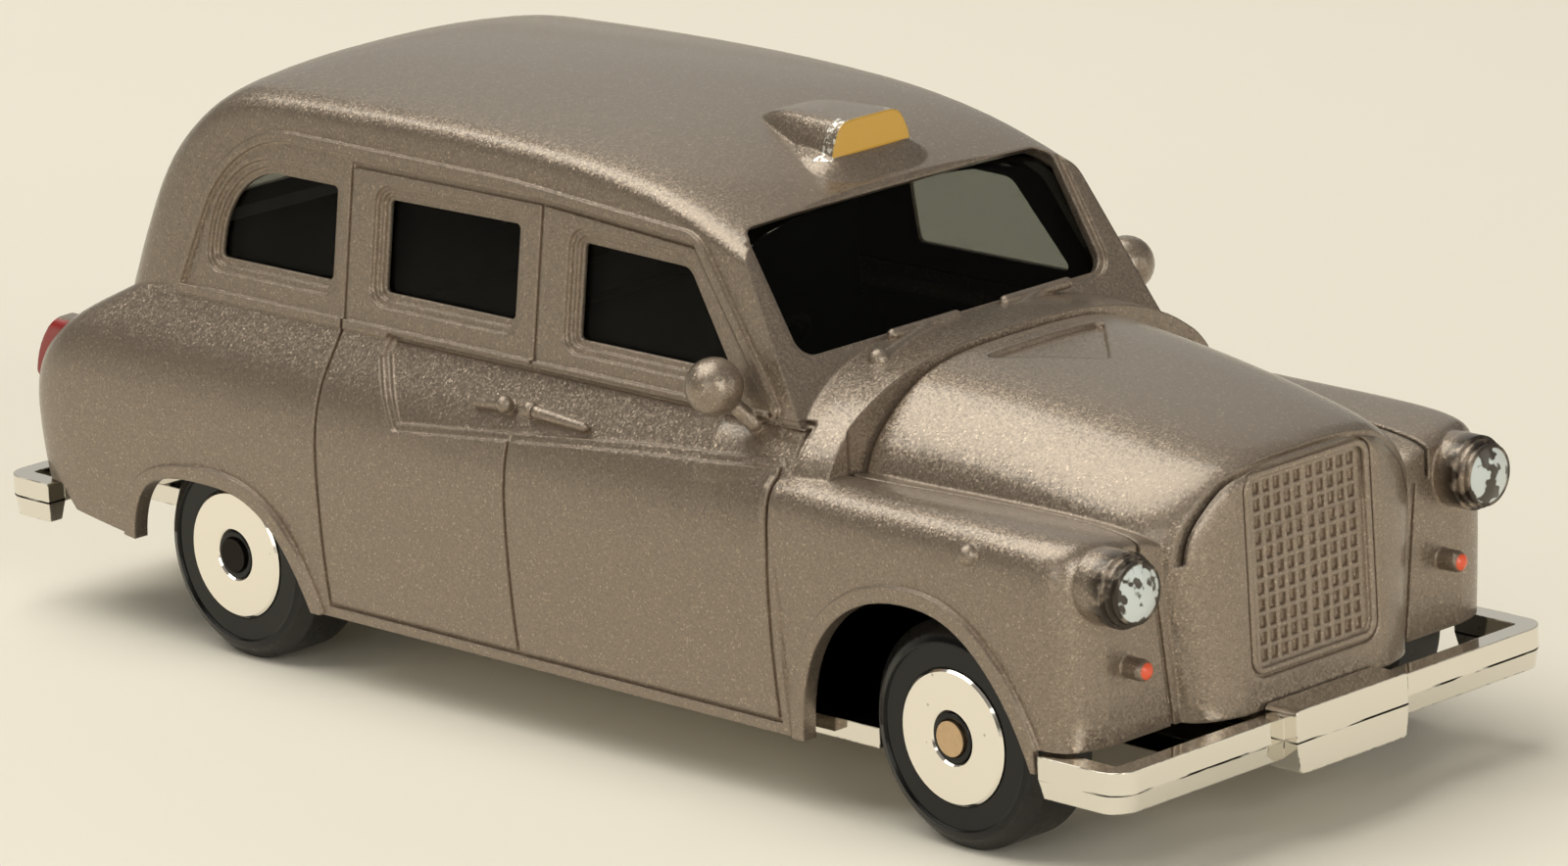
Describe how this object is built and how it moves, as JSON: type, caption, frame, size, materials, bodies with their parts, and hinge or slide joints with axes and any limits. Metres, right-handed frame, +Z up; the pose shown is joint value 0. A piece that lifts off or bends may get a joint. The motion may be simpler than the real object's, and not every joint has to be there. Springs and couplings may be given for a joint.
{
  "type": "die-cast toy taxi",
  "caption": "Small die-cast toy of a London-type taxi: hollow painted casting, clear glazing, seat tub, plated base with bumpers and free-rolling wheels on steel axles.",
  "frame": {"origin": "on the ground, middle of the length and width", "axes": "+X to the front bumper, +Y to the left side, +Z up"},
  "size_m": [0.0728, 0.0282, 0.0271],
  "materials": {
    "silver_paint": "metallic flake gloss",
    "smoked_clear": "clear gloss",
    "black_moulding": "satin",
    "plated_plastic": "vacuum plated",
    "steel": "plain",
    "wheel_black": "gloss",
    "disc_bright": "mirror"
  },
  "bodies": {
    "root": {"body_shell": "silver_paint", "glazing": "smoked_clear", "interior": "black_moulding", "base": "plated_plastic", "axle_front": "steel", "axle_rear": "steel"},
    "front_left_wheel": {"wheel_front_left": "wheel_black", "wheel_disc_front_left": "disc_bright"},
    "front_right_wheel": {"wheel_front_right": "wheel_black", "wheel_disc_front_right": "disc_bright"},
    "rear_left_wheel": {"wheel_rear_left": "wheel_black", "wheel_disc_rear_left": "disc_bright"},
    "rear_right_wheel": {"wheel_rear_right": "wheel_black", "wheel_disc_rear_right": "disc_bright"}
  },
  "joints": [
    {"name": "front_left_roll", "type": "hinge", "parent": "root", "child": "front_left_wheel", "pos_m": [0.0255, 0.01105, 0.00502], "axis": [0, 1, 0], "continuous": true},
    {"name": "front_right_roll", "type": "hinge", "parent": "root", "child": "front_right_wheel", "pos_m": [0.0255, -0.01105, 0.00502], "axis": [0, 1, 0], "continuous": true},
    {"name": "rear_left_roll", "type": "hinge", "parent": "root", "child": "rear_left_wheel", "pos_m": [-0.0205, 0.01105, 0.00502], "axis": [0, 1, 0], "continuous": true},
    {"name": "rear_right_roll", "type": "hinge", "parent": "root", "child": "rear_right_wheel", "pos_m": [-0.0205, -0.01105, 0.00502], "axis": [0, 1, 0], "continuous": true}
  ]
}
